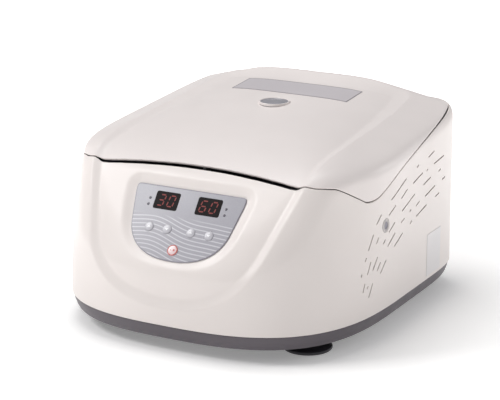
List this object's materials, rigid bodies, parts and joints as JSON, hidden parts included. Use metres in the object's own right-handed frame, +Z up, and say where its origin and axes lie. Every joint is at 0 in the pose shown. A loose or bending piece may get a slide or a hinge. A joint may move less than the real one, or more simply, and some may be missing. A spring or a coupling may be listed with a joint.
{
  "type": "microplate centrifuge",
  "caption": "Benchtop microplate centrifuge with a curved hinged hood, sight glass, sloped control panel and a swing-out rotor carrying two microplate carriers.",
  "frame": {"origin": "On the table under the middle of the body's width and depth.", "axes": "+X to the right seen from the front, +Y from the control panel to the rear, +Z up; the rotor axis stands at y = 0.0475 m."},
  "size_m": [0.368, 0.403, 0.246],
  "materials": {
    "housing_white": "moulded gloss ABS",
    "liner_white": "moulded satin ABS",
    "tray_grey": "moulded grey ABS",
    "rubber_dark": "moulded nitrile rubber",
    "gasket_rubber": "extruded silicone rubber",
    "steel_zinc": "zinc plated steel",
    "stainless": "spun stainless steel",
    "sheet_steel": "folded sheet steel",
    "motor_alloy": "cast aluminium",
    "rotor_alloy": "hard anodised aluminium",
    "carrier_alloy": "clear anodised aluminium",
    "membrane": "printed polyester overlay",
    "display_black": "tinted acrylic window",
    "lamp_dark": "unlit lamp lens",
    "button_grey": "moulded plastic",
    "button_pink": "moulded plastic",
    "board_green": "glass fibre board with solder mask",
    "fitting_black": "moulded nylon",
    "rear_plate": "powder coated steel",
    "sight_grey": "smoked polycarbonate",
    "plate_grey": "polyester label stock"
  },
  "bodies": {
    "root": {"base_pan": "tray_grey", "feet": "rubber_dark", "foot_screws": "steel_zinc", "housing": "housing_white", "housing_screws": "steel_zinc", "deck": "liner_white", "deck_screws": "steel_zinc", "chamber_bowl": "stainless", "bowl_gasket": "gasket_rubber", "shaft_gaiter": "rubber_dark", "motor_housing": "motor_alloy", "motor_plate": "sheet_steel", "motor_bearings": "steel_zinc", "motor_dampers": "rubber_dark", "panel_membrane": "membrane", "display_speed": "display_black", "display_time": "display_black", "indicator_lamps": "lamp_dark", "control_board": "board_green", "driver_board": "board_green", "board_posts": "steel_zinc", "latch_frame": "sheet_steel", "latch_solenoid": "fitting_black", "hinge_brackets": "sheet_steel", "hinge_pins": "steel_zinc", "rear_panel": "rear_plate", "power_inlet": "fitting_black", "switch_frame": "fitting_black", "rating_plate": "plate_grey"},
    "lid": {"lid_shell": "housing_white", "lid_liner": "liner_white", "lid_screws": "steel_zinc", "sight_glass": "sight_grey", "info_plate": "plate_grey", "hinge_arms": "rotor_alloy", "latch_hook": "steel_zinc"},
    "rotor": {"drive_shaft": "steel_zinc", "rotor_yoke": "rotor_alloy", "rotor_nut": "steel_zinc", "trunnion_pins": "steel_zinc"},
    "left_carrier": {"carrier_left": "carrier_alloy"},
    "right_carrier": {"carrier_right": "carrier_alloy"},
    "speed_down_key": {"button_speed_down": "button_grey"},
    "speed_up_key": {"button_speed_up": "button_grey"},
    "time_down_key": {"button_time_down": "button_grey"},
    "time_up_key": {"button_time_up": "button_grey"},
    "start_key": {"button_start": "button_pink"},
    "bolt": {"latch_bolt": "steel_zinc"},
    "plug": {"release_plug": "liner_white"},
    "rocker": {"power_rocker": "fitting_black"}
  },
  "joints": [
    {"name": "lid_hinge", "type": "hinge", "parent": "root", "child": "lid", "pos_m": [0, 0.1875, 0.208], "axis": [-1, 0, 0], "range_deg": [0, 75]},
    {"name": "rotor_spin", "type": "hinge", "parent": "root", "child": "rotor", "pos_m": [0, 0.0475, 0.14], "axis": [0, 0, 1], "continuous": true},
    {"name": "left_swing", "type": "hinge", "parent": "rotor", "child": "left_carrier", "pos_m": [-0.06034, 0.0475, 0.14], "axis": [0, 1, 0], "range_deg": [0, 90]},
    {"name": "right_swing", "type": "hinge", "parent": "rotor", "child": "right_carrier", "pos_m": [0.06034, 0.0475, 0.14], "axis": [0, -1, 0], "range_deg": [0, 90]},
    {"name": "speed_down_press", "type": "slide", "parent": "root", "child": "speed_down_key", "axis": [0, 0.8059, -0.592], "range_m": [0, 0.0006], "stiffness_N_per_m": 1500},
    {"name": "speed_up_press", "type": "slide", "parent": "root", "child": "speed_up_key", "axis": [0, 0.8059, -0.592], "range_m": [0, 0.0006], "stiffness_N_per_m": 1500},
    {"name": "time_down_press", "type": "slide", "parent": "root", "child": "time_down_key", "axis": [0, 0.8059, -0.592], "range_m": [0, 0.0006], "stiffness_N_per_m": 1500},
    {"name": "time_up_press", "type": "slide", "parent": "root", "child": "time_up_key", "axis": [0, 0.8059, -0.592], "range_m": [0, 0.0006], "stiffness_N_per_m": 1500},
    {"name": "start_press", "type": "slide", "parent": "root", "child": "start_key", "axis": [0, 0.8059, -0.592], "range_m": [0, 0.0006], "stiffness_N_per_m": 1500},
    {"name": "bolt_slide", "type": "slide", "parent": "root", "child": "bolt", "axis": [-1, 0, 0], "range_m": [0, 0.01], "stiffness_N_per_m": 60},
    {"name": "plug_pull", "type": "slide", "parent": "root", "child": "plug", "axis": [1, 0, 0], "range_m": [0, 0.012]},
    {"name": "rocker_tilt", "type": "hinge", "parent": "root", "child": "rocker", "pos_m": [-0.042, 0.1926, 0.052], "axis": [-1, 0, 0], "range_deg": [0, 18]}
  ]
}
